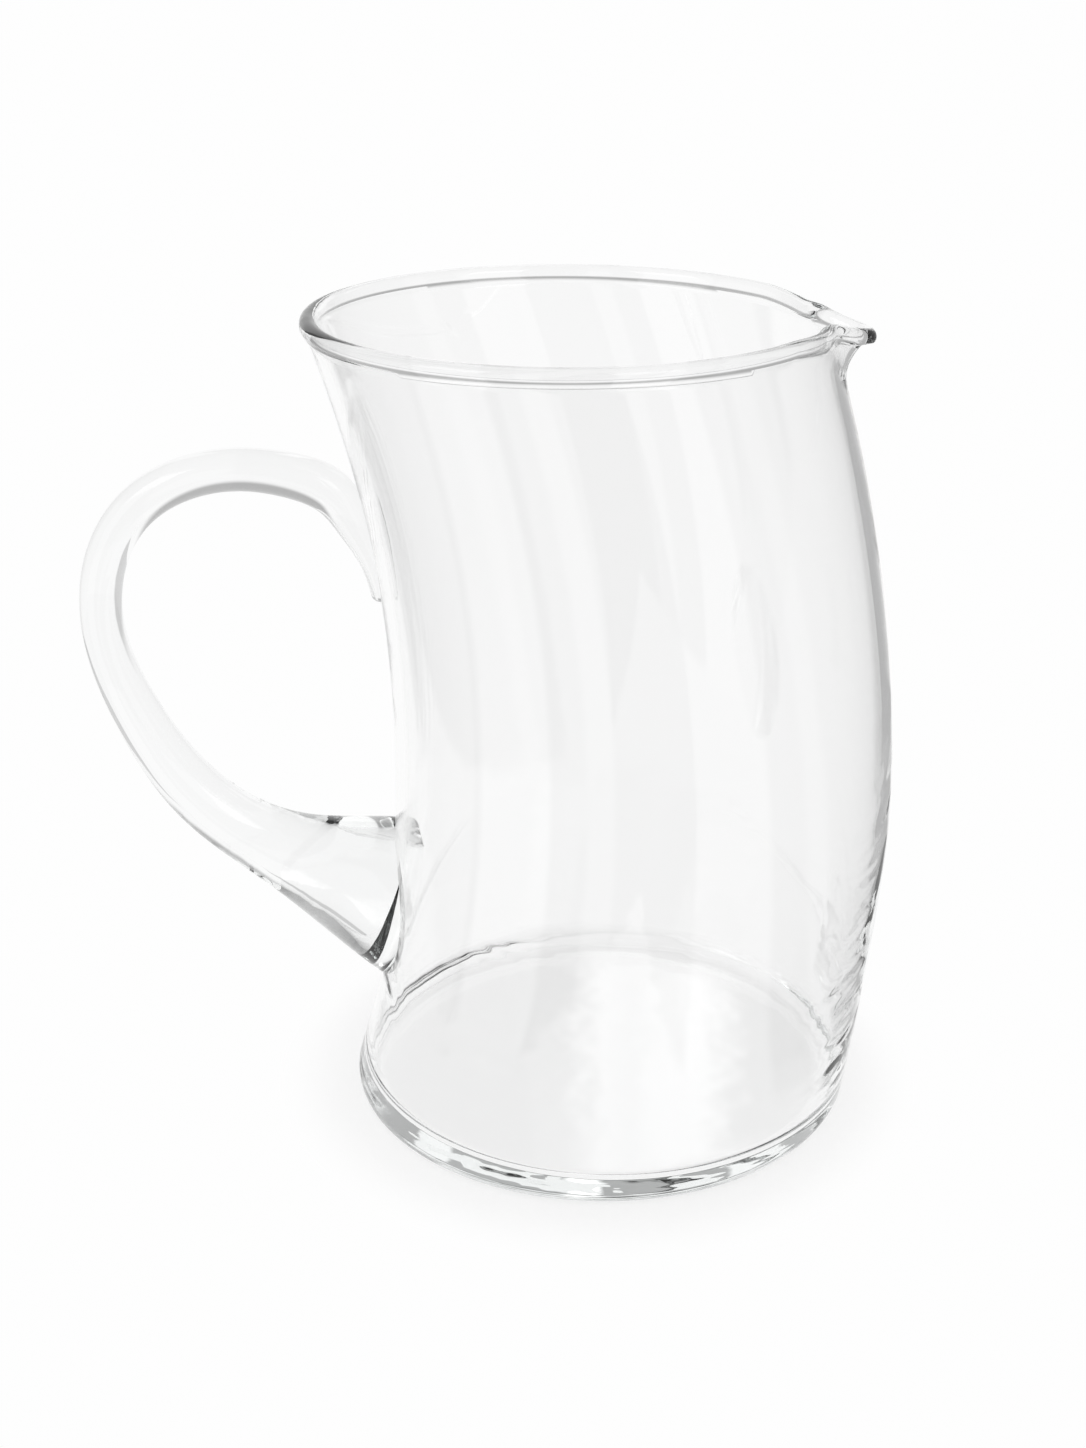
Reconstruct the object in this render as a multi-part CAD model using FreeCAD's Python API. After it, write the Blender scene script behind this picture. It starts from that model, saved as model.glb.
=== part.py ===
"""Bent, hand-blown clear glass jug with a pinched lip and an applied loop handle.

Lengths are in millimetres. Z points up, +X points from the handle to the lip.
The origin is the centre of the flat underside, on the surface the jug stands on.
"""
import FreeCAD, Part
import math
import os

V = FreeCAD.Vector

# Body
jug_height = 215.0
bow_reach = 10.9
bow_height = 91.0
rim_setback = 11.1
base_radius = 68.7
waist_radius = 66.3
rim_radius = 64.4
foot_flare_height = 25.0
taper_start = 75.0
taper_end = 172.0
wall_thickness = 2.8
floor_thickness = 5.0
heel_radius = 3.6
floor_corner_radius = 5.0

# Rim bead and lip
bead_radius = 2.2
neck_depth = 1.3
lip_reach = 9.6
lip_half_angle = 6.6
lip_depth = 14.0
lip_swell = 1.8
lip_swell_angle = 30.0
lip_swell_depth = 22.0
lip_droop = 4.0
lip_droop_start = 12.0
lip_root_rise = 0.8
lip_root_angle = 11.0
lip_root_spread = 5.0

# Handle: the gather is set on first, the rod is drawn out, looped and pressed on again
gather_height = 54.0
gather_radius = 20.8
handle_span = 114.0
handle_reach = 73.5
rod_thickness = 11.0
rod_width = 12.6
tail_length = 26.5
tail_end_radius = 2.6
tail_end_rise = 0.3

# Where the parts of the loop lie: share of the reach, share of the span, thickness and
# width as a share of those of the rod
loop_stations = [
    (0.386, 0.118, 1.98, 1.74),
    (0.673, 0.245, 1.46, 1.32),
    (0.897, 0.464, 1.18, 1.10),
    (1.000, 0.693, 1.01, 1.00),
    (0.967, 0.849, 1.00, 1.00),
    (0.852, 0.965, 1.00, 1.00),
    (0.697, 1.029, 1.00, 1.00),
    (0.500, 1.056, 1.00, 1.00),
    (0.317, 1.044, 1.04, 1.00),
]

# Pressed-on tail: share of its length from the top, centre's distance from the wall as a
# share of the rod's thickness, thickness and width as a share of those of the rod
tail_stations = [
    (0.00, 0.66, 1.06, 1.00),
    (0.32, 0.33, 0.84, 0.92),
    (0.66, 0.11, 0.60, 0.72),
]

bead_height = jug_height - bead_radius
half_wall = wall_thickness / 2.0


def smooth_step(t):
    """Eased value between 0 and 1."""
    t = min(max(t, 0.0), 1.0)
    return t * t * (3.0 - 2.0 * t)


def axis_x(z):
    """Place of the bent centre line at height z.

    It leaves the origin toward the lip, bows out the most at the bow's height and leans
    back over it, so that the rim is set back toward the handle.
    """
    t = z / bow_height
    end = jug_height / bow_height
    lean = (rim_setback + bow_reach * end * (2.0 - end)) / (end * (end - 1.0) ** 2)
    return bow_reach * t * (2.0 - t) - lean * t * (t - 1.0) ** 2


def body_radius(z):
    """Outer radius at height z: a flared foot on a body that narrows toward the rim."""
    taper = smooth_step((z - taper_start) / (taper_end - taper_start))
    flare = (base_radius - waist_radius) * math.exp(-(max(z, 0.0) / foot_flare_height) ** 1.5)
    return waist_radius + (rim_radius - waist_radius) * taper + flare


def wall_x(z):
    """Outer face of the wall on the handle's side at height z."""
    return axis_x(z) - body_radius(z)


def hill(angle, width):
    """Smooth hill of height 1 at angle 0 that falls to 0.37 at the width."""
    return math.exp(-(angle / width) ** 2)


def share_above(z, depth):
    """0 where the lip's shaping starts, depth below the bead, and 1 at the bead."""
    return min(max((z - bead_height + depth) / depth, 0.0), 1.0)


def middle_point(angle, z):
    """Point half way through the wall: angle in degrees from the lip, height z before droop."""
    beak = lip_reach * hill(angle, lip_half_angle) * share_above(z, lip_depth) ** 1.35
    swell = lip_swell * hill(angle, lip_swell_angle) * share_above(z, lip_swell_depth) ** 2
    radius = body_radius(z) - half_wall + beak + swell
    x = axis_x(z) + radius * math.cos(math.radians(angle))
    y = radius * math.sin(math.radians(angle))
    tip = axis_x(bead_height) + rim_radius + lip_reach
    start = axis_x(bead_height) + rim_radius - lip_droop_start
    droop = lip_droop * max((x - start) / (tip - start), 0.0) ** 1.35
    root = lip_root_rise * hill(abs(angle) - lip_root_angle, lip_root_spread)
    return V(x, y, z + (root - droop) * share_above(z, lip_depth) ** 1.5)


def outward(angle, z):
    """Level direction at right angles to the wall."""
    ahead = middle_point(angle + 0.05, z)
    behind = middle_point(angle - 0.05, z)
    along = V(ahead.x - behind.x, ahead.y - behind.y, 0)
    return along.cross(V(0, 0, 1)).normalize()


def section_angles():
    """Angles in degrees from the handle's side once round, closer together at the lip."""
    far = [-180.0 + 158.0 * i / 12.0 for i in range(12)]
    near = [-22.0 + 2.0 * i for i in range(23)]
    back = [22.0 + 158.0 * i / 12.0 for i in range(1, 12)]
    return far + near + back


def eased_heights(low, high):
    """Heights from low to high, closer together at both ends."""
    eased = [(1.0 - math.cos(math.pi * i / 14.0)) / 2.0 for i in range(15)]
    return [low + (high - low) * share for share in eased]


def round_corner(top, aside, radius):
    """Stations of a quarter round from a standing face down into a level one."""
    way = []
    for i in range(6):
        turn = math.radians(18.0 * i)
        way.append((top - radius * math.sin(turn), aside - radius * (1.0 - math.cos(turn)), 0.0))
    return way


def profile_stations():
    """Way round the wall's section: height, distance from the wall's middle, rise.

    It goes round the heel, climbs the outer face, goes over the bead, comes down the
    inner face and turns into the floor.
    """
    neck = bead_height - bead_radius - neck_depth
    floor_corner = floor_thickness + floor_corner_radius
    heel = round_corner(heel_radius, half_wall, heel_radius)
    outer = [(z, half_wall, 0.0) for z in eased_heights(heel_radius, neck)]
    bead = []
    for i in range(11):
        turn = math.radians(-36.0 + 25.2 * i)
        bead.append((bead_height, bead_radius * math.cos(turn), bead_radius * math.sin(turn)))
    inner = [(z, -half_wall, 0.0) for z in eased_heights(neck, floor_corner)]
    corner = round_corner(floor_corner, -half_wall, floor_corner_radius)
    return heel[:0:-1] + outer + bead + inner + corner[1:]


def skin(rows, once_round):
    """Smooth surface through closed rows of points.

    Each row is a closed curve with the values of once_round as its parameter. The rows
    are joined by curves whose parameter is the distance along the first column.
    """
    turns = once_round + [once_round[0] + 360.0]
    pole_rows = []
    for row in rows:
        ring = Part.BSplineCurve()
        ring.interpolate(Points=row, PeriodicFlag=True, Parameters=turns)
        pole_rows.append(ring.getPoles())
    way = [0.0]
    for low, high in zip(rows[:-1], rows[1:]):
        way.append(way[-1] + (high[0] - low[0]).Length)
    poles = []
    for column in zip(*pole_rows):
        joint = Part.BSplineCurve()
        joint.interpolate(Points=list(column), Parameters=way)
        poles.append(joint.getPoles())
    surface = Part.BSplineSurface()
    surface.buildFromPolesMultsKnots(
        poles, ring.getMultiplicities(), joint.getMultiplicities(),
        ring.getKnots(), joint.getKnots(), True, False, 3, 3)
    return surface


def end_cap(surface, end, outward_sense):
    """Flat face on the loop at one end, facing away from the material."""
    loop = surface.vIso(end)
    first, last = loop.FirstParameter, loop.LastParameter
    third = (last - first) / 3.0
    start = loop.value(first)
    turn = (loop.value(first + third) - start).cross(loop.value(first + 2.0 * third) - start)
    cap = Part.Face(Part.Wire([loop.toShape()]))
    if cap.normalAt(0, 0).dot(turn) * outward_sense < 0:
        cap.reverse()
    return cap


def closed_solid(surface, breaks):
    """Solid from a surface with two open, flat ends, its face split at some of its rows."""
    knots = surface.getVKnots()
    cuts = [0] + list(breaks) + [len(knots) - 1]
    first, last = surface.bounds()[:2]
    faces = [end_cap(surface, knots[0], -1.0), end_cap(surface, knots[-1], 1.0)]
    for low, high in zip(cuts[:-1], cuts[1:]):
        strip = surface.copy()
        strip.segment(first, last, knots[low], knots[high])
        faces.append(strip.toShape())
    shell = Part.Shell(faces)
    shell.sewShape()
    return Part.Solid(shell)


def body():
    """Blown body: heel, wall, bead and floor in one piece."""
    angles = section_angles()
    rows = []
    stations = profile_stations()
    for z, aside, rise in stations:
        row = []
        for angle in angles:
            row.append(middle_point(angle, z) + outward(angle, z) * aside + V(0, 0, rise))
        rows.append(row)
    bead = [i for i, station in enumerate(stations) if station[0] == bead_height]
    return closed_solid(skin(rows, angles), [5, bead[0] - 1, bead[-1] + 1, len(rows) - 6])


def handle_stations():
    """Centre, half thickness and half width of the handle, from the gather to the tail."""
    wall = wall_x(gather_height)
    root = V(wall + gather_radius * 0.48, 0, gather_height - gather_radius * 0.14)
    mouth = V(wall, 0, gather_height + gather_radius * 0.07)
    stations = [(root, gather_radius * 1.12, gather_radius * 1.12)]
    stations.append((mouth, gather_radius, gather_radius))
    for reach, span, thick, wide in loop_stations:
        place = V(wall - handle_reach * reach, 0, gather_height + handle_span * span)
        stations.append((place, rod_thickness * thick / 2.0, rod_width * wide / 2.0))
    top = gather_height + handle_span
    for down, out, thick, wide in tail_stations:
        z = top - tail_length * down
        place = V(wall_x(z) - rod_thickness * out, 0, z)
        stations.append((place, rod_thickness * thick / 2.0, rod_width * wide / 2.0))
    z = top - tail_length
    stations.append((V(wall_x(z) - tail_end_rise, 0, z), tail_end_radius, tail_end_radius))
    return stations


def handle():
    """Loop handle: oval sections at right angles to a smooth centre line."""
    stations = handle_stations()
    line = Part.BSplineCurve()
    line.interpolate(Points=[s[0] for s in stations])
    across = V(0, 1, 0)
    angles = [22.5 * i for i in range(16)]
    rows = []
    for place, thick, wide in stations:
        out = line.tangent(line.parameter(place))[0].cross(across)
        row = []
        for angle in angles:
            turn = math.radians(angle)
            row.append(place + out * (thick * math.cos(turn)) + across * (wide * math.sin(turn)))
        rows.append(row)
    along = line.tangent(line.LastParameter)[0]
    place, thick, wide = stations[-1]
    for forward, share in ((0.45, 0.90), (0.75, 0.62)):
        middle = place + along * (tail_end_radius * forward)
        rows.append([middle + (point - place) * share for point in rows[len(stations) - 1]])
    return closed_solid(skin(rows, angles), [2, len(rows) // 2, len(rows) - 3])


def body_core():
    """All of the inside as far as the middle of the wall, where the handle has to stop."""
    angles = section_angles()
    heights = [(jug_height + floor_thickness) * i / 8.0 - floor_thickness for i in range(9)]
    rows = []
    for z in heights:
        radius = body_radius(z) - half_wall
        row = []
        for angle in angles:
            turn = math.radians(angle)
            row.append(V(axis_x(z) + radius * math.cos(turn), radius * math.sin(turn), z))
        rows.append(row)
    return closed_solid(skin(rows, angles), [4])


def jug():
    """The whole jug as one solid."""
    return body().fuse(handle().cut(body_core()))


os.makedirs("parts", exist_ok=True)
shape = jug()
if len(shape.Solids) == 1:
    shape = shape.Solids[0]
shape.exportStep("parts/jug.step")
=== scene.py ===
"""Dressed model of a bent, hand-blown clear glass jug on a white studio floor.

Lengths are in metres, in the frame of the CAD part: Z points up, +X points from the
handle to the pouring lip, and the origin is the centre of the flat underside. The body
is one blown skin of glass with a rounded rim bead and a small pinched lip. The loop
handle was set on as a hot gather, drawn out, looped over and pressed on again below the
rim. Both are worked out here as fine meshes and melted into one piece of glass.
"""
from __future__ import annotations

import logging
import math
from dataclasses import dataclass, field
from enum import Enum
from typing import Any, Optional, Sequence, Union

import bpy
import numpy as np
from mathutils import Matrix

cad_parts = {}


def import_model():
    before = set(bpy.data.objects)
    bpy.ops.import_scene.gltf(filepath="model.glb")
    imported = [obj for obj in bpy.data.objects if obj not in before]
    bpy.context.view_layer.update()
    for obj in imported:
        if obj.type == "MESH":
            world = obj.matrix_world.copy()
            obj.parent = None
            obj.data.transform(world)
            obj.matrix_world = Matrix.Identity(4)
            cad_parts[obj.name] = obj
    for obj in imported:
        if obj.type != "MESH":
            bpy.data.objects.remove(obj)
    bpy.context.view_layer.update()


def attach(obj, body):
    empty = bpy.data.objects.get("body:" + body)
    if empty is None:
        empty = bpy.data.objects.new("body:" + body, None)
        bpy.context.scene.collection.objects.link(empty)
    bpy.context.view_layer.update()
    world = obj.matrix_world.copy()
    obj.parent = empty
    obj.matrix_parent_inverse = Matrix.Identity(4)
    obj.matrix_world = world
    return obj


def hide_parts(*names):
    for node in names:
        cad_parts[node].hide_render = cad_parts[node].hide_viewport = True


MM = 0.001
LOG = logging.getLogger("jug")
Level = Union[float, bpy.types.NodeSocket]


# Small helpers

def linear_colour(text: str) -> tuple[float, float, float, float]:
    """Turn an sRGB hex colour into linear light.

    Args:
        text: Six hex digits with a leading hash.

    Returns:
        Red, green, blue and an alpha of 1.
    """
    parts = [int(text[i:i + 2], 16) / 255.0 for i in (1, 3, 5)]
    values = [p / 12.92 if p <= 0.04045 else ((p + 0.055) / 1.055) ** 2.4 for p in parts]
    return (values[0], values[1], values[2], 1.0)


def add_node(tree: bpy.types.NodeTree, kind: str, settings: Optional[dict[str, Any]] = None,
             values: Optional[dict[Any, Any]] = None,
             links: Optional[dict[Any, bpy.types.NodeSocket]] = None) -> bpy.types.Node:
    """Add a node with its settings, socket values and incoming links.

    Args:
        tree: Node tree that takes the node.
        kind: Blender's type name of the node.
        settings: Attributes of the node.
        values: Values of its input sockets, by name or number.
        links: Output sockets that feed its inputs, by name or number.

    Returns:
        The new node.
    """
    node = tree.nodes.new(kind)
    for name, value in (settings or {}).items():
        setattr(node, name, value)
    for name, value in (values or {}).items():
        node.inputs[name].default_value = value
    for name, source in (links or {}).items():
        tree.links.new(source, node.inputs[name])
    return node


def add_levels(tree: bpy.types.NodeTree, kind: str, settings: dict[str, Any],
               levels: dict[int, Level]) -> bpy.types.NodeSocket:
    """Add a node whose inputs are plain values or sockets.

    Args:
        tree: Node tree that takes the node.
        kind: Blender's type name of the node.
        settings: Attributes of the node.
        levels: Value or socket of each input, by number.

    Returns:
        The node's first output.
    """
    linked = {n: level for n, level in levels.items()
              if isinstance(level, bpy.types.NodeSocket)}
    plain = {n: level for n, level in levels.items() if n not in linked}
    return add_node(tree, kind, settings, plain, linked).outputs[0]


def chained(tree: bpy.types.NodeTree, operation: str,
            levels: Sequence[Level]) -> bpy.types.NodeSocket:
    """Sum, product or other two-sided operation taken along a row of levels.

    Args:
        tree: Node tree that takes the nodes.
        operation: Blender's name of the operation.
        levels: Two or more values or sockets.

    Returns:
        Socket with the result.
    """
    result = levels[0]
    for level in levels[1:]:
        result = add_levels(tree, "ShaderNodeMath", {"operation": operation},
                            {0: result, 1: level})
    return result


def eased(tree: bpy.types.NodeTree, level: bpy.types.NodeSocket, start: float, end: float,
          first: float, last: float) -> bpy.types.NodeSocket:
    """Smooth step by a level.

    Args:
        tree: Node tree that takes the node.
        level: Socket that drives the step.
        start: Level at which the step starts.
        end: Level at which the step ends.
        first: Result up to the start.
        last: Result from the end on.

    Returns:
        Socket with the result.
    """
    return add_levels(tree, "ShaderNodeMapRange", {"interpolation_type": "SMOOTHSTEP"},
                      {0: level, 1: start, 2: end, 3: first, 4: last})


def mixed(tree: bpy.types.NodeTree, share: bpy.types.NodeSocket, first: Level,
          second: Level) -> bpy.types.NodeSocket:
    """Blend of two levels.

    Args:
        tree: Node tree that takes the node.
        share: Share of the second level, 0 to 1.
        first: Level at a share of 0.
        second: Level at a share of 1.

    Returns:
        Socket with the result.
    """
    return add_levels(tree, "ShaderNodeMix", {"data_type": "FLOAT"},
                      {0: share, 2: first, 3: second})


def smooth_step(share: np.ndarray) -> np.ndarray:
    """Eased share t * t * (3 - 2 t), with t held between 0 and 1."""
    t = np.clip(share, 0.0, 1.0)
    return t * t * (3.0 - 2.0 * t)


def hill(angle: np.ndarray, width: float) -> np.ndarray:
    """Smooth hill exp(-(angle / width) squared)."""
    return np.exp(-(angle / width) ** 2)


def smooth_through(knots: np.ndarray, values: np.ndarray, places: np.ndarray) -> np.ndarray:
    """Natural cubic spline through points.

    The second derivatives m solve the usual three-term rows, with m = 0 at both ends.
    Between two knots the curve is the cubic with those second derivatives.

    Args:
        knots: Rising parameter of each point, shape (n,).
        values: Points, shape (n, k).
        places: Parameters to evaluate at, shape (m,).

    Returns:
        Points of the curve, shape (m, k).
    """
    count = len(knots)
    step = np.diff(knots)
    rows = np.eye(count)
    right = np.zeros_like(values)
    inside = np.arange(1, count - 1)
    rows[inside, inside - 1] = step[:-1]
    rows[inside, inside] = 2.0 * (step[:-1] + step[1:])
    rows[inside, inside + 1] = step[1:]
    slope = np.diff(values, axis=0) / step[:, None]
    right[inside] = 6.0 * (slope[1:] - slope[:-1])
    bend = np.linalg.solve(rows, right)
    i = np.clip(np.searchsorted(knots, places) - 1, 0, count - 2)
    h = step[i][:, None]
    a = (knots[i + 1] - places)[:, None] / h
    b = 1.0 - a
    curve = a * values[i] + b * values[i + 1]
    return curve + ((a ** 3 - a) * bend[i] + (b ** 3 - b) * bend[i + 1]) * h * h / 6.0


def tube_mesh(name: str, rows: np.ndarray, poles: Sequence[Sequence[float]]) -> bpy.types.Mesh:
    """Closed mesh from rings of points with a pole at each end.

    Ring i and ring i + 1 are joined by quads, each ring is closed on itself, and each
    end ring is closed by triangles to its pole. Faces point outwards when the rings run
    anticlockwise as seen from the last ring.

    Args:
        name: Name of the mesh.
        rows: Points, shape (rings, points in a ring, 3).
        poles: First and last pole.

    Returns:
        The mesh, smooth shaded.
    """
    rings, around = rows.shape[:2]
    points = np.concatenate([rows.reshape(-1, 3), np.asarray(poles, float)])
    first, last = rings * around, rings * around + 1
    j = np.arange(around)
    k = (j + 1) % around
    base = (np.arange(rings - 1) * around)[:, None]
    quads = np.stack([base + j, base + k, base + around + k, base + around + j], axis=-1)
    start = np.stack([np.full(around, first), k, j], axis=-1)
    top = (rings - 1) * around
    end = np.stack([np.full(around, last), top + j, top + k], axis=-1)
    corners = np.concatenate([quads.ravel(), start.ravel(), end.ravel()]).astype(np.int32)
    sides = np.concatenate([np.full(quads.size // 4, 4), np.full(2 * around, 3)])
    starts = np.concatenate([[0], np.cumsum(sides)[:-1]]).astype(np.int32)
    mesh = bpy.data.meshes.new(name)
    mesh.vertices.add(len(points))
    mesh.vertices.foreach_set("co", points.astype(np.float32).ravel())
    mesh.loops.add(len(corners))
    mesh.loops.foreach_set("vertex_index", corners)
    mesh.polygons.add(len(sides))
    mesh.polygons.foreach_set("loop_start", starts)
    mesh.polygons.foreach_set("use_smooth", np.ones(len(sides), bool))
    mesh.update(calc_edges=True)
    mesh.validate()
    return mesh


def add_object(name: str, data: Any) -> bpy.types.Object:
    """Object at the origin, linked into the scene."""
    thing = bpy.data.objects.new(name, data)
    bpy.context.scene.collection.objects.link(thing)
    return thing


class Melt(Enum):
    """How one closed mesh is worked with another."""

    JOIN = "UNION"
    CUT = "DIFFERENCE"


def melt_with(target: bpy.types.Object, other: bpy.types.Object, way: Melt) -> None:
    """Join or cut one closed mesh with another and keep the result in the first.

    Args:
        target: Object whose mesh is replaced by the result.
        other: Object that is joined or taken away, removed afterwards.
        way: Whether the other one is joined or taken away.
    """
    step = target.modifiers.new("melt", "BOOLEAN")
    step.object = other
    step.operation = way.value
    step.solver = "EXACT"
    bpy.context.view_layer.update()
    graph = bpy.context.evaluated_depsgraph_get()
    result = bpy.data.meshes.new_from_object(target.evaluated_get(graph))
    target.modifiers.clear()
    old = target.data
    result.name = old.name
    target.data = result
    bpy.data.meshes.remove(old)
    spare = other.data
    bpy.data.objects.remove(other)
    bpy.data.meshes.remove(spare)


# Finishes

class Ripple(Enum):
    """Marks that blowing and turning leave in the glass."""

    CORD = "long soft waves that climb the wall"
    CHILL = "short level waves in patches low on the wall"
    TURNING = "fine level lines round the foot"
    DIMPLE = "shallow dimples in the floor"


@dataclass(frozen=True)
class Wave:
    """Pattern of one kind of ripple.

    The pattern runs along X, Y and Z at its pace, so a pace below 1 draws it out. It has
    its full height up to the low level, and a share of that from the top level on.
    """

    pace: tuple[float, float, float]
    width: float
    height: float
    low: float
    top: float
    share_above: float


WAVES: dict[Ripple, Wave] = {
    Ripple.CORD: Wave((1.0, 1.0, 0.22), 46.0 * MM, 0.14 * MM, 0.0, 1.0, 1.0),
    Ripple.CHILL: Wave((0.35, 0.35, 1.0), 7.5 * MM, 0.24 * MM, 30.0 * MM, 110.0 * MM, 0.06),
    Ripple.TURNING: Wave((0.02, 0.02, 1.0), 1.6 * MM, 0.055 * MM, 8.0 * MM, 18.0 * MM, 0.0),
    Ripple.DIMPLE: Wave((1.0, 1.0, 1.0), 9.0 * MM, 0.05 * MM, 6.0 * MM, 10.0 * MM, 0.0),
}


@dataclass(frozen=True)
class BlownGlass:
    """Clear soda-lime glass, blown and fire polished.

    The surface is mirror smooth, with an IOR of 1.5. It has long soft waves up the wall,
    short level ones low on its sides, where it chilled as it was turned, shallow dimples
    in the floor and lines drawn along the handle. They break the reflections up into
    streaks. Thick parts look grey with a touch of green.
    """

    tint: str = "#fdfdfd"
    body_tint: str = "#c8dcd8"
    density: float = 1.0
    ior: float = 1.5
    patch_width: float = 42.0 * MM
    patch_low: float = 0.42
    patch_high: float = 0.58
    patch_rest: float = 0.15
    lip_side_start: float = 45.0 * MM
    lip_side_end: float = 70.0 * MM
    lip_side_gain: float = 4.5
    heel_start: float = 10.0 * MM
    heel_end: float = 22.0 * MM
    floor_start: float = 52.0 * MM
    floor_end: float = 60.0 * MM
    drawn_width: float = 4.0 * MM
    drawn_height: float = 0.09 * MM
    drawn_fade: float = 8.0 * MM
    loop_middle: tuple[float, float, float] = (-88.0 * MM, 0.0, 118.0 * MM)
    loop_start: float = -66.0 * MM

    def wave_height(self, tree: bpy.types.NodeTree, kind: Ripple) -> bpy.types.NodeSocket:
        """Height in metres of one kind of ripple.

        Args:
            tree: Node tree of the material.
            kind: Which ripple.

        Returns:
            Socket with the height.
        """
        wave = WAVES[kind]
        place = add_node(tree, "ShaderNodeTexCoord").outputs["Object"]
        paced = add_node(tree, "ShaderNodeMapping", values={"Scale": wave.pace},
                         links={"Vector": place})
        noise = add_node(tree, "ShaderNodeTexNoise", {"noise_dimensions": "3D"},
                         {"Scale": 1.0 / wave.width, "Detail": 1.0, "Roughness": 0.4},
                         {"Vector": paced.outputs["Vector"]})
        parts = add_node(tree, "ShaderNodeSeparateXYZ", links={0: place})
        fade = eased(tree, parts.outputs["Z"], wave.low, wave.top, wave.height,
                     wave.height * wave.share_above)
        return chained(tree, "MULTIPLY",
                       [noise.outputs[0], fade, *self.masks(tree, kind, place)])

    def masks(self, tree: bpy.types.NodeTree, kind: Ripple,
              place: bpy.types.NodeSocket) -> list[bpy.types.NodeSocket]:
        """Factors that keep a ripple to its part of the glass.

        Dimples stay within the floor. Chill waves come in patches, are higher on the
        lip's side and leave the heel smooth.

        Args:
            tree: Node tree of the material.
            kind: Which ripple.
            place: Place on the jug.

        Returns:
            Sockets with the factors, none for a ripple that goes everywhere.
        """
        if kind is Ripple.DIMPLE:
            reach = add_node(tree, "ShaderNodeVectorMath", {"operation": "LENGTH"},
                             links={0: place})
            return [eased(tree, reach.outputs["Value"], self.floor_start, self.floor_end,
                          1.0, 0.0)]
        if kind is Ripple.CHILL:
            parts = add_node(tree, "ShaderNodeSeparateXYZ", links={0: place})
            spread = add_node(tree, "ShaderNodeTexNoise", {"noise_dimensions": "3D"},
                              {"Scale": 1.0 / self.patch_width, "Detail": 0.0},
                              {"Vector": place})
            return [eased(tree, spread.outputs[0], self.patch_low, self.patch_high,
                          self.patch_rest, 1.0),
                    eased(tree, parts.outputs["X"], self.lip_side_start, self.lip_side_end,
                          1.0, self.lip_side_gain),
                    eased(tree, parts.outputs["Z"], self.heel_start, self.heel_end, 0.0, 1.0)]
        return []

    def drawn_lines(self, tree: bpy.types.NodeTree) -> bpy.types.NodeSocket:
        """Height of the lines along the handle, on (y, distance from the loop's middle).

        Args:
            tree: Node tree of the material.

        Returns:
            Socket with the height in metres.
        """
        place = add_node(tree, "ShaderNodeTexCoord").outputs["Object"]
        parts = add_node(tree, "ShaderNodeSeparateXYZ", links={0: place})
        level = add_node(tree, "ShaderNodeVectorMath", {"operation": "MULTIPLY"},
                         {1: (1.0, 0.0, 1.0)}, {0: place})
        away = add_node(tree, "ShaderNodeVectorMath", {"operation": "DISTANCE"},
                        {1: self.loop_middle}, {0: level.outputs[0]})
        lane = add_node(tree, "ShaderNodeCombineXYZ", links={
            0: parts.outputs["Y"], 1: away.outputs["Value"]})
        noise = add_node(tree, "ShaderNodeTexNoise", {"noise_dimensions": "3D"},
                         {"Scale": 1.0 / self.drawn_width, "Detail": 1.0, "Roughness": 0.5},
                         {"Vector": lane.outputs[0]})
        fade = eased(tree, parts.outputs["X"], self.loop_start - self.drawn_fade,
                     self.loop_start, self.drawn_height, 0.0)
        return chained(tree, "MULTIPLY", [noise.outputs[0], fade])

    def material(self) -> bpy.types.Material:
        """Material of the glass."""
        material = bpy.data.materials.new("blown clear glass")
        material.use_nodes = True
        tree = material.node_tree
        tree.nodes.clear()
        waves = [self.wave_height(tree, kind) for kind in Ripple] + [self.drawn_lines(tree)]
        bump = add_node(tree, "ShaderNodeBump", values={"Strength": 1.0, "Distance": 1.0},
                        links={"Height": chained(tree, "ADD", waves)})
        shader = add_node(tree, "ShaderNodeBsdfPrincipled", values={
            "Base Color": linear_colour(self.tint), "Roughness": 0.0, "IOR": self.ior,
            "Transmission Weight": 1.0}, links={"Normal": bump.outputs["Normal"]})
        inside = add_node(tree, "ShaderNodeVolumeAbsorption", values={
            "Color": linear_colour(self.body_tint), "Density": self.density})
        add_node(tree, "ShaderNodeOutputMaterial", links={
            "Surface": shader.outputs[0], "Volume": inside.outputs[0]})
        return material


@dataclass(frozen=True)
class Glow:
    """Bright upright field in the room, seen from the jug.

    The azimuths are degrees from +X, and the light is that of its surface.
    """

    start: float
    end: float
    light: float


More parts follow.
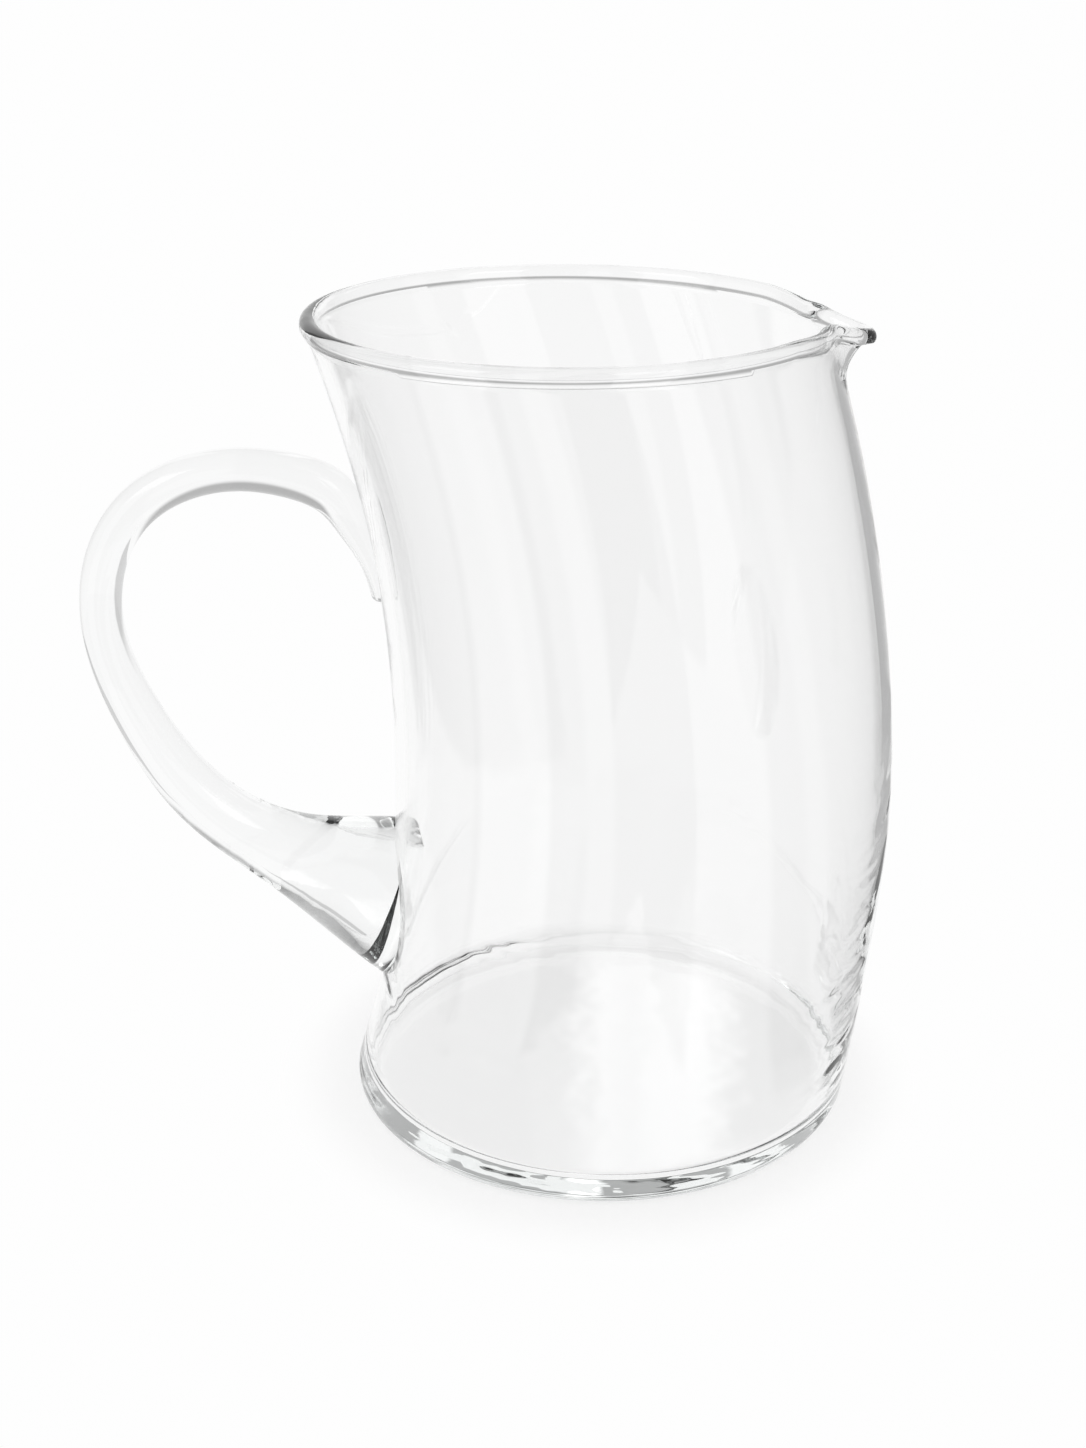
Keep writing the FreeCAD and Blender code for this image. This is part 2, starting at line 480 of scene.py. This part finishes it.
@dataclass(frozen=True)
class Room:
    """What mirror reflections on the glass see: dim walls, bright windows, dark ceiling.

    One row of bright fields lies on the ground, one low on the walls and one high on
    them. The heights are shares of the way up, 0 for level and 1 for straight up. What
    shows through the glass is white when level and dims between the two dusk heights.
    """

    dim: float = 0.44
    ceiling: float = 0.26
    soft_edge: float = 0.7
    high_start: float = 0.38
    high_end: float = 0.50
    ceiling_start: float = 0.66
    ceiling_end: float = 0.80
    dusk_start: float = 0.08
    dusk_end: float = 0.26
    ground: tuple[Glow, ...] = (
        Glow(160.0, 196.0, 0.80), Glow(199.0, 232.0, 1.10), Glow(249.0, 259.0, 0.80),
        Glow(292.0, 322.0, 0.95), Glow(340.0, 350.0, 0.68))
    low: tuple[Glow, ...] = (Glow(60.0, 125.0, 0.99),) + ground
    high: tuple[Glow, ...] = (
        Glow(46.0, 58.0, 1.0), Glow(83.4, 87.0, 1.6), Glow(88.4, 88.8, 1.5),
        Glow(89.6, 89.9, 1.5), Glow(112.0, 124.0, 1.0), Glow(199.0, 232.0, 2.2),
        Glow(292.0, 322.0, 2.2))

    def round_about(self, tree: bpy.types.NodeTree, place: bpy.types.NodeSocket,
                    glows: Sequence[Glow]) -> bpy.types.NodeSocket:
        """Light by azimuth: dim all round, with a soft-edged step for each bright field.

        Args:
            tree: Node tree that takes the nodes.
            place: Place or direction seen from the jug.
            glows: Bright fields in rising order of azimuth.

        Returns:
            Socket with the light.
        """
        parts = add_node(tree, "ShaderNodeSeparateXYZ", links={0: place})
        turn = chained(tree, "ARCTAN2", [parts.outputs["Y"], parts.outputs["X"]])
        share = chained(tree, "DIVIDE", [turn, 2.0 * math.pi])
        once = add_levels(tree, "ShaderNodeMath", {"operation": "WRAP"},
                          {0: share, 1: 1.0, 2: 0.0})
        ramp = add_node(tree, "ShaderNodeValToRGB", links={0: once})
        steps = [(0.0, self.dim)]
        for glow in glows:
            edge = min(self.soft_edge, (glow.end - glow.start) / 3.0)
            steps += [(glow.start - edge, self.dim), (glow.start, glow.light),
                      (glow.end, glow.light), (glow.end + edge, self.dim)]
        stops = ramp.color_ramp.elements
        stops.remove(stops[1])
        for number, (azimuth, light) in enumerate(steps):
            stop = stops[0] if number == 0 else stops.new(azimuth / 360.0)
            stop.position = azimuth / 360.0
            stop.color = (light, light, light, 1.0)
        return ramp.outputs["Color"]


@dataclass(frozen=True)
class PaperFloor:
    """White paper sweep: matt, lit evenly, with the jug's soft shadow on it."""

    colour: str = "#fdfdfd"
    white: float = 0.99
    own_light: float = 0.80
    through_light: float = 0.93
    near: float = 70.0 * MM
    far: float = 90.0 * MM
    wedge_tip: float = 250.0 * MM
    wedge_right: float = 0.32
    wedge_left: float = -0.66
    wedge_edge: float = 0.06
    rear_light: float = 0.62
    rear_start: float = 100.0 * MM
    rear_end: float = 220.0 * MM
    room_near: float = 80.0 * MM
    room_far: float = 115.0 * MM

    def wedge(self, tree: bpy.types.NodeTree,
              place: bpy.types.NodeSocket) -> bpy.types.NodeSocket:
        """1 on the wedge behind the jug that stays white, 0 beside it.

        The wedge opens toward +Y from a tip in front of the jug. Its edges are given as X
        over the distance from the tip along Y.
        """
        parts = add_node(tree, "ShaderNodeSeparateXYZ", links={0: place})
        ahead = chained(tree, "ADD", [parts.outputs["Y"], self.wedge_tip])
        slope = chained(tree, "DIVIDE", [parts.outputs["X"], ahead])
        right = eased(tree, slope, self.wedge_right, self.wedge_right + self.wedge_edge,
                      1.0, 0.0)
        left = eased(tree, slope, self.wedge_left - self.wedge_edge, self.wedge_left,
                     0.0, 1.0)
        front = chained(tree, "GREATER_THAN", [ahead, 0.0])
        return chained(tree, "MULTIPLY", [right, left, front])

    def seen_light(self, tree: bpy.types.NodeTree, place: bpy.types.NodeSocket,
                   reach: bpy.types.NodeSocket, room: Room) -> bpy.types.NodeSocket:
        """Light of the floor, by what sees it.

        The eye sees plain white. What shows through the glass is white too, but darker at
        the rear on both sides of the wedge. Mirror reflections on the glass see the
        room's fields outside the wedge, from some way out.

        Args:
            tree: Node tree of the material.
            place: Place on the floor.
            reach: Distance from the jug's middle.
            room: Room whose fields lie on the floor.

        Returns:
            Socket with the light.
        """
        parts = add_node(tree, "ShaderNodeSeparateXYZ", links={0: place})
        wedge = self.wedge(tree, place)
        fields = mixed(tree, wedge, room.round_about(tree, place, room.ground), self.white)
        rear = eased(tree, parts.outputs["Y"], self.rear_start, self.rear_end, 0.0, 1.0)
        shade = mixed(tree, wedge, self.rear_light, self.white)
        plain = mixed(tree, chained(tree, "MULTIPLY", [rear, bent_share(tree)]), self.white,
                      shade)
        out = eased(tree, reach, self.room_near, self.room_far, 0.0, 1.0)
        return mixed(tree, chained(tree, "MULTIPLY", [out, mirrored_share(tree)]), plain,
                     fields)

    def material(self, room: Room) -> bpy.types.Material:
        """Material of the floor.

        Near the jug it is matt paper with some light of its own, which fades to plain
        white away from it. Seen in or through the glass it is mostly its own light.

        Args:
            room: Room whose fields the glass reflects.

        Returns:
            The material.
        """
        material = bpy.data.materials.new("white paper sweep")
        material.use_nodes = True
        tree = material.node_tree
        tree.nodes.clear()
        place = add_node(tree, "ShaderNodeTexCoord").outputs["Object"]
        reach = add_node(tree, "ShaderNodeVectorMath", {"operation": "LENGTH"},
                         links={0: place}).outputs["Value"]
        share = eased(tree, reach, self.near, self.far, self.own_light, 1.0)
        by_eye = add_node(tree, "ShaderNodeLightPath").outputs["Is Camera Ray"]
        straight = chained(tree, "MULTIPLY", [share, by_eye])
        through = chained(tree, "MULTIPLY", [bent_share(tree), self.through_light])
        paper = add_node(tree, "ShaderNodeBsdfDiffuse",
                         values={"Color": linear_colour(self.colour)})
        glow = add_node(tree, "ShaderNodeEmission", links={
            "Strength": self.seen_light(tree, place, reach, room)})
        mix = add_node(tree, "ShaderNodeMixShader", links={
            0: chained(tree, "MAXIMUM", [straight, through]), 1: paper.outputs[0],
            2: glow.outputs[0]})
        add_node(tree, "ShaderNodeOutputMaterial", links={"Surface": mix.outputs[0]})
        return material


def bent_share(tree: bpy.types.NodeTree) -> bpy.types.NodeSocket:
    """1 for what is seen in a reflection or through glass, 0 for light on matt things."""
    path = add_node(tree, "ShaderNodeLightPath")
    clear = chained(tree, "MAXIMUM", [path.outputs["Is Glossy Ray"],
                                      path.outputs["Is Transmission Ray"]])
    seen = chained(tree, "LESS_THAN", [path.outputs["Diffuse Depth"], 0.5])
    return chained(tree, "MULTIPLY", [clear, seen])


def mirrored_share(tree: bpy.types.NodeTree) -> bpy.types.NodeSocket:
    """1 for what is seen by a reflection on the glass, 0 for what is seen straight through."""
    path = add_node(tree, "ShaderNodeLightPath")
    thrown = chained(tree, "GREATER_THAN", [path.outputs["Glossy Depth"], 0.5])
    return chained(tree, "MULTIPLY", [thrown, bent_share(tree)])


# The jug

@dataclass
class BlownBody:
    """Bent blown body: heel, wall, rim bead, inner wall and floor in one skin."""

    height: float = 215.0 * MM
    bow_reach: float = 10.9 * MM
    bow_height: float = 91.0 * MM
    rim_setback: float = 11.1 * MM
    base_radius: float = 68.7 * MM
    waist_radius: float = 66.3 * MM
    rim_radius: float = 64.4 * MM
    foot_flare_height: float = 25.0 * MM
    taper_start: float = 75.0 * MM
    taper_end: float = 172.0 * MM
    wall: float = 2.8 * MM
    floor: float = 5.0 * MM
    heel_radius: float = 3.6 * MM
    corner_radius: float = 5.0 * MM
    bead_radius: float = 2.2 * MM
    neck_depth: float = 1.3 * MM
    lip_reach: float = 9.6 * MM
    lip_half_angle: float = 6.6
    lip_depth: float = 14.0 * MM
    lip_swell: float = 1.8 * MM
    lip_swell_angle: float = 30.0
    lip_swell_depth: float = 22.0 * MM
    lip_droop: float = 4.0 * MM
    lip_droop_start: float = 12.0 * MM
    lip_root_rise: float = 0.8 * MM
    lip_root_angle: float = 11.0
    lip_root_spread: float = 5.0
    wall_steps: int = 72
    corner_steps: int = 10
    bead_steps: int = 24
    far_steps: int = 220
    near_steps: int = 56
    near_angle: float = 22.0
    bead_start: float = -36.0
    bead_end: float = 216.0
    flare_power: float = 1.5
    beak_power: float = 1.35
    lift_power: float = 1.5
    core_rows: int = 90
    core_columns: int = 240

    @property
    def bead_height(self) -> float:
        """Height of the bead's middle."""
        return self.height - self.bead_radius

    def axis_x(self, z: np.ndarray) -> np.ndarray:
        """Place of the bent centre line at height z.

        With t the height over the bow's height, it is bow * t * (2 - t) less a lean of
        t * (t - 1) squared, sized so that the rim is set back by its own amount.
        """
        t = z / self.bow_height
        end = self.height / self.bow_height
        bow = self.bow_reach
        lean = (self.rim_setback + bow * end * (2.0 - end)) / (end * (end - 1.0) ** 2)
        return bow * t * (2.0 - t) - lean * t * (t - 1.0) ** 2

    def radius(self, z: np.ndarray) -> np.ndarray:
        """Outer radius at height z: eased from waist to rim, with a foot that flares."""
        taper = smooth_step((z - self.taper_start) / (self.taper_end - self.taper_start))
        rise = (np.maximum(z, 0.0) / self.foot_flare_height) ** self.flare_power
        flare = (self.base_radius - self.waist_radius) * np.exp(-rise)
        return self.waist_radius + (self.rim_radius - self.waist_radius) * taper + flare

    def wall_x(self, z: np.ndarray) -> np.ndarray:
        """Outer face of the wall on the handle's side."""
        return self.axis_x(z) - self.radius(z)

    def share_above(self, z: np.ndarray, depth: float) -> np.ndarray:
        """0 where the lip's shaping starts, depth below the bead, and 1 at the bead."""
        return np.clip((z - self.bead_height + depth) / depth, 0.0, 1.0)

    def middle(self, angle: np.ndarray, z: np.ndarray) -> np.ndarray:
        """Points half way through the wall.

        The radius is that of the wall, plus a narrow hill (the pinched beak) and a wide
        low one (the swell round it) about the lip, both growing toward the bead. What
        lies far out droops, and the two roots of the beak stand up a little.

        Args:
            angle: Degrees from the lip.
            z: Heights before the droop.

        Returns:
            Points, with a last axis of 3.
        """
        beak = self.lip_reach * hill(angle, self.lip_half_angle)
        beak = beak * self.share_above(z, self.lip_depth) ** self.beak_power
        swell = self.lip_swell * hill(angle, self.lip_swell_angle)
        swell = swell * self.share_above(z, self.lip_swell_depth) ** 2
        radius = self.radius(z) - self.wall / 2.0 + beak + swell
        turn = np.radians(angle)
        x = self.axis_x(z) + radius * np.cos(turn)
        y = radius * np.sin(turn)
        rim = float(self.axis_x(np.float64(self.bead_height))) + self.rim_radius
        start = rim - self.lip_droop_start
        reach = np.maximum((x - start) / (rim + self.lip_reach - start), 0.0)
        root = self.lip_root_rise * hill(np.abs(angle) - self.lip_root_angle, self.lip_root_spread)
        down = self.lip_droop * reach ** self.beak_power
        lifted = z + (root - down) * self.share_above(z, self.lip_depth) ** self.lift_power
        return np.stack([x, y, lifted], axis=-1)

    def angles(self) -> np.ndarray:
        """Degrees once round from the handle's side, closer together at the lip."""
        edge = self.near_angle
        far = np.linspace(-180.0, -edge, self.far_steps // 2, endpoint=False)
        near = np.linspace(-edge, edge, self.near_steps, endpoint=False)
        back = np.linspace(edge, 180.0, self.far_steps // 2, endpoint=False)
        return np.concatenate([far, near, back])

    def quarter(self, top: float, aside: float, radius: float) -> np.ndarray:
        """Stations of a quarter round from a standing face down into a level one."""
        turn = np.radians(np.linspace(0.0, 90.0, self.corner_steps + 1))
        z = top - radius * np.sin(turn)
        return np.stack([z, aside - radius * (1.0 - np.cos(turn)), 0.0 * turn], axis=-1)

    def profile(self) -> np.ndarray:
        """Way round the wall's section, from the underside to the top of the floor.

        Returns:
            Height, distance from the wall's middle and rise of each station.
        """
        half = self.wall / 2.0
        neck = self.bead_height - self.bead_radius - self.neck_depth
        inner_foot = self.floor + self.corner_radius
        eased = (1.0 - np.cos(np.linspace(0.0, np.pi, self.wall_steps + 1))) / 2.0
        up = self.heel_radius + (neck - self.heel_radius) * eased
        down = neck + (inner_foot - neck) * eased
        turn = np.radians(np.linspace(self.bead_start, self.bead_end, self.bead_steps + 1))
        bead = np.stack([np.full_like(turn, self.bead_height), self.bead_radius * np.cos(turn),
                         self.bead_radius * np.sin(turn)], axis=-1)
        heel = self.quarter(self.heel_radius, half, self.heel_radius)[:0:-1]
        corner = self.quarter(inner_foot, -half, self.corner_radius)[1:]
        outer = np.stack([up, np.full_like(up, half), 0.0 * up], axis=-1)
        inner = np.stack([down, np.full_like(down, -half), 0.0 * down], axis=-1)
        return np.concatenate([heel, outer, bead, inner, corner])

    def skin(self) -> np.ndarray:
        """Rings of the whole skin.

        Each point is the wall's middle moved out by the station's distance along the
        level direction at right angles to the wall, and up by its rise. Shrinking rings
        inside the first and the last one make the underside and the floor.
        """
        angle = self.angles()[None, :]
        station = self.profile()[:, None, :]
        z, aside, rise = station[..., 0], station[..., 1], station[..., 2]
        grid_z = np.broadcast_to(z, np.broadcast_shapes(z.shape, angle.shape))
        points = self.middle(angle, grid_z)
        along = self.middle(angle + 0.05, grid_z) - self.middle(angle - 0.05, grid_z)
        out = np.stack([along[..., 1], -along[..., 0], 0.0 * along[..., 0]], axis=-1)
        out /= np.linalg.norm(out, axis=-1, keepdims=True)
        points = points + out * aside[..., None]
        points[..., 2] += rise
        shrink = np.linspace(0.15, 0.9, 6)[:, None, None]
        under = points[:1].mean(axis=1, keepdims=True)
        over = points[-1:].mean(axis=1, keepdims=True)
        below = under + (points[:1] - under) * shrink
        above = over + (points[-1:] - over) * shrink[::-1]
        return np.concatenate([below, points, above])

    def build(self) -> bpy.types.Object:
        """Closed mesh of the body."""
        rows = self.skin()
        poles = [rows[0].mean(axis=0), rows[-1].mean(axis=0)]
        return add_object("jug", tube_mesh("jug", rows, poles))

    def build_core(self) -> bpy.types.Object:
        """Closed solid as far as the middle of the wall, where the handle has to stop."""
        z = np.linspace(-self.floor, self.height, self.core_rows)[:, None]
        angle = np.linspace(-180.0, 180.0, self.core_columns, endpoint=False)[None, :]
        radius = self.radius(z) - self.wall / 2.0
        x = self.axis_x(z) + radius * np.cos(np.radians(angle))
        y = radius * np.sin(np.radians(angle))
        rows = np.stack([x, y, z + 0.0 * x], axis=-1)
        poles = [rows[0].mean(axis=0), rows[-1].mean(axis=0)]
        return add_object("core", tube_mesh("core", rows, poles))


@dataclass
class LoopHandle:
    """Loop handle: gather on the wall, drawn rod, and a tail pressed on below the rim."""

    body: BlownBody
    gather_height: float = 54.0 * MM
    gather_radius: float = 20.8 * MM
    span: float = 114.0 * MM
    reach: float = 73.5 * MM
    rod_thickness: float = 11.0 * MM
    rod_width: float = 12.6 * MM
    tail_length: float = 26.5 * MM
    tail_end_radius: float = 2.6 * MM
    tail_end_rise: float = 0.3 * MM
    loop: tuple[tuple[float, float, float, float], ...] = (
        (0.386, 0.118, 1.98, 1.74), (0.673, 0.245, 1.46, 1.32), (0.897, 0.464, 1.18, 1.10),
        (1.000, 0.693, 1.01, 1.00), (0.967, 0.849, 1.00, 1.00), (0.852, 0.965, 1.00, 1.00),
        (0.697, 1.029, 1.00, 1.00), (0.500, 1.056, 1.00, 1.00), (0.317, 1.044, 1.04, 1.00))
    tail: tuple[tuple[float, float, float, float], ...] = (
        (0.00, 0.66, 1.06, 1.00), (0.32, 0.33, 0.84, 0.92), (0.66, 0.11, 0.60, 0.72))
    rings: int = 230
    around: int = 64

    def stations(self) -> np.ndarray:
        """Centre x and z, half thickness and half width, from the gather to the tail."""
        wall = float(self.body.wall_x(np.float64(self.gather_height)))
        grip = self.gather_radius
        rows = [(wall + 0.48 * grip, self.gather_height - 0.14 * grip, 1.12 * grip, 1.12 * grip),
                (wall, self.gather_height + 0.07 * grip, grip, grip)]
        for reach, span, thick, wide in self.loop:
            rows.append((wall - self.reach * reach, self.gather_height + self.span * span,
                         self.rod_thickness * thick / 2.0, self.rod_width * wide / 2.0))
        top = self.gather_height + self.span
        for down, out, thick, wide in self.tail:
            z = top - self.tail_length * down
            x = float(self.body.wall_x(np.float64(z))) - self.rod_thickness * out
            rows.append((x, z, self.rod_thickness * thick / 2.0, self.rod_width * wide / 2.0))
        z = top - self.tail_length
        x = float(self.body.wall_x(np.float64(z))) - self.tail_end_rise
        rows.append((x, z, self.tail_end_radius, self.tail_end_radius))
        return np.array(rows)

    def skin(self) -> tuple[np.ndarray, np.ndarray]:
        """Rings of the handle and its two poles.

        A smooth curve through the stations gives the centre line, the half thickness and
        the half width. Each ring is an oval at right angles to the centre line, and the
        last rings shrink on a quarter round so that the tail ends in a soft tip.
        """
        rows = self.stations()
        step = np.linalg.norm(np.diff(rows[:, :2], axis=0), axis=1)
        knots = np.concatenate([[0.0], np.cumsum(step)])
        places = np.linspace(0.0, knots[-1], self.rings)
        line = smooth_through(knots, rows, places)
        nudge = 1e-5
        ahead = smooth_through(knots, rows, np.minimum(places + nudge, knots[-1]))
        behind = smooth_through(knots, rows, np.maximum(places - nudge, 0.0))
        along = (ahead - behind)[:, :2]
        along /= np.linalg.norm(along, axis=1, keepdims=True)
        tip = np.radians(np.linspace(0.0, 80.0, 8)[1:])
        forward = self.tail_end_radius * np.sin(tip)[:, None] * 0.9
        more = np.concatenate([line[-1:, :2] + along[-1:] * forward,
                               line[-1:, 2:] * np.cos(tip)[:, None]], axis=1)
        line = np.concatenate([line, more])
        along = np.concatenate([along, np.repeat(along[-1:], len(tip), axis=0)])
        turn = np.linspace(0.0, 2.0 * np.pi, self.around, endpoint=False)[None, :]
        out = np.stack([-along[:, 1], along[:, 0]], axis=-1)
        thick = line[:, 2:3] * np.cos(turn)
        wide = line[:, 3:4] * np.sin(turn)
        x = line[:, 0:1] + out[:, 0:1] * thick
        z = line[:, 1:2] + out[:, 1:2] * thick
        points = np.stack([x, wide, z], axis=-1)
        end = line[-1, :2] + along[-1] * self.tail_end_radius * 0.02
        poles = np.array([[line[0, 0], 0.0, line[0, 1]], [end[0], 0.0, end[1]]])
        return points, poles

    def build(self) -> bpy.types.Object:
        """Closed mesh of the handle, as far as the middle of the wall."""
        points, poles = self.skin()
        handle = add_object("handle", tube_mesh("handle", points, poles))
        melt_with(handle, self.body.build_core(), Melt.CUT)
        return handle


@dataclass
class Jug:
    """The whole jug: the handle melted into the body, in one glass."""

    body: BlownBody = field(default_factory=BlownBody)
    glass: BlownGlass = field(default_factory=BlownGlass)
    crease: float = 40.0

    def build(self) -> bpy.types.Object:
        """Build, join and dress the jug.

        Returns:
            The finished piece, which stands in for the CAD node.
        """
        piece = self.body.build()
        handle = LoopHandle(self.body).build()
        melt_with(piece, handle, Melt.JOIN)
        mesh = piece.data
        mesh.polygons.foreach_set("use_smooth", np.ones(len(mesh.polygons), bool))
        mesh.set_sharp_from_angle(angle=math.radians(self.crease))
        mesh.materials.clear()
        mesh.materials.append(self.glass.material())
        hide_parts("jug")
        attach(piece, "root")
        LOG.info("jug: %d faces", len(mesh.polygons))
        return piece


# The studio

@dataclass
class Panel:
    """Lamp with a lit rectangle that looks at the jug."""

    name: str
    azimuth: float
    elevation: float
    distance: float
    width: float
    height: float
    light: float
    aim_height: float = 110.0 * MM

    def build(self) -> bpy.types.Object:
        """Lamp at its azimuth from +X and elevation, both in degrees, round the jug.

        The power is light * area * pi, which gives the panel that radiance.
        """
        lamp = bpy.data.lights.new(self.name, "AREA")
        lamp.shape = "RECTANGLE"
        lamp.size = self.width
        lamp.size_y = self.height
        lamp.energy = self.light * self.width * self.height * math.pi
        thing = add_object(self.name, lamp)
        turn = Matrix.Rotation(math.radians(self.azimuth - 90.0), 4, "Z")
        tilt = Matrix.Rotation(math.radians(-90.0 - self.elevation), 4, "X")
        middle = Matrix.Translation((0.0, 0.0, self.aim_height))
        thing.matrix_world = middle @ turn @ tilt.inverted() @ Matrix.Translation(
            (0.0, 0.0, self.distance))
        return thing


@dataclass
class Studio:
    """White floor, room light, lamps and camera."""

    floor: PaperFloor = field(default_factory=PaperFloor)
    floor_radius: float = 9.0
    floor_gap: float = 0.2 * MM
    floor_sides: int = 96
    room: Room = field(default_factory=Room)
    room_light: float = 0.93
    panels: tuple[Panel, ...] = (
        Panel("left softbox", 215.0, 32.0, 2.2, 0.6, 1.6, 2.6),
        Panel("right softbox", 305.0, 32.0, 2.2, 0.5, 1.6, 0.9),
    )
    camera_place: tuple[float, float, float] = (-12.407 * MM, -498.206 * MM, 313.837 * MM)
    camera_pitch: float = 0.3973
    camera_yaw: float = 0.0067
    camera_roll: float = -0.0012
    focal_pixels: float = 2028.825
    image_height: float = 1448.0
    sensor: float = 36.0
    clip_start: float = 10.0 * MM
    bounces: int = 28
    transmission_bounces: int = 24
    glossy_bounces: int = 16
    transparent_bounces: int = 16

    def build_floor(self) -> bpy.types.Object:
        """Round floor about the origin, one flat face just below the jug."""
        turn = np.linspace(0.0, 2.0 * np.pi, self.floor_sides, endpoint=False)
        ring = np.stack([np.cos(turn), np.sin(turn), 0.0 * turn], axis=-1) * self.floor_radius
        mesh = bpy.data.meshes.new("floor")
        mesh.from_pydata(ring.tolist(), [], [list(range(len(turn)))])
        mesh.materials.append(self.floor.material(self.room))
        floor = add_object("floor", mesh)
        floor.location.z = -self.floor_gap
        return floor

    def build_world(self) -> None:
        """Room round the floor.

        The eye sees white. Mirror reflections see the low fields, the high fields and the
        dim ceiling. What shows through the glass dims with height. The rest is even light.
        """
        world = bpy.data.worlds.new("room")
        bpy.context.scene.world = world
        world.use_nodes = True
        tree = world.node_tree
        tree.nodes.clear()
        room = self.room
        way = add_node(tree, "ShaderNodeTexCoord").outputs["Generated"]
        up = add_node(tree, "ShaderNodeSeparateXYZ", links={0: way}).outputs["Z"]
        rise = eased(tree, up, room.high_start, room.high_end, 0.0, 1.0)
        walls = mixed(tree, rise, room.round_about(tree, way, room.low),
                      room.round_about(tree, way, room.high))
        over = eased(tree, up, room.ceiling_start, room.ceiling_end, 0.0, 1.0)
        all_round = mixed(tree, over, walls, room.ceiling)
        by_eye = add_node(tree, "ShaderNodeLightPath").outputs["Is Camera Ray"]
        plain = mixed(tree, by_eye, self.room_light, 1.0)
        upward = eased(tree, up, room.dusk_start, room.dusk_end, self.floor.white, room.dim)
        through = mixed(tree, bent_share(tree), plain, upward)
        strength = mixed(tree, mirrored_share(tree), through, all_round)
        light = add_node(tree, "ShaderNodeBackground",
                         values={"Color": (1.0, 1.0, 1.0, 1.0)},
                         links={"Strength": strength})
        add_node(tree, "ShaderNodeOutputWorld", links={"Surface": light.outputs[0]})

    def build_camera(self) -> bpy.types.Object:
        """Camera at the photograph's place, with its lens as focal length in pixels."""
        data = bpy.data.cameras.new("camera")
        data.sensor_width = self.sensor
        data.lens = self.focal_pixels * data.sensor_width / self.image_height
        data.clip_start = self.clip_start
        camera = add_object("camera", data)
        turn = Matrix.Rotation(self.camera_yaw, 4, "Z")
        tilt = Matrix.Rotation(math.pi / 2.0 - self.camera_pitch, 4, "X")
        roll = Matrix.Rotation(-self.camera_roll, 4, "Z")
        camera.matrix_world = Matrix.Translation(self.camera_place) @ turn @ tilt @ roll
        bpy.context.scene.camera = camera
        return camera

    def build(self) -> None:
        """Set up the floor, the room, the lamps and the camera."""
        self.build_floor()
        self.build_world()
        for panel in self.panels:
            panel.build()
        self.build_camera()
        scene = bpy.context.scene
        scene.view_settings.view_transform = "Standard"
        scene.cycles.max_bounces = self.bounces
        scene.cycles.transmission_bounces = self.transmission_bounces
        scene.cycles.glossy_bounces = self.glossy_bounces
        scene.cycles.transparent_max_bounces = self.transparent_bounces
        LOG.info("studio: %d lamps", len(self.panels))


def main() -> None:
    """Load the frame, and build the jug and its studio."""
    logging.basicConfig(level=logging.INFO, format="%(name)s %(message)s")
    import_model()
    Jug().build()
    Studio().build()


if __name__ == "__main__":
    main()
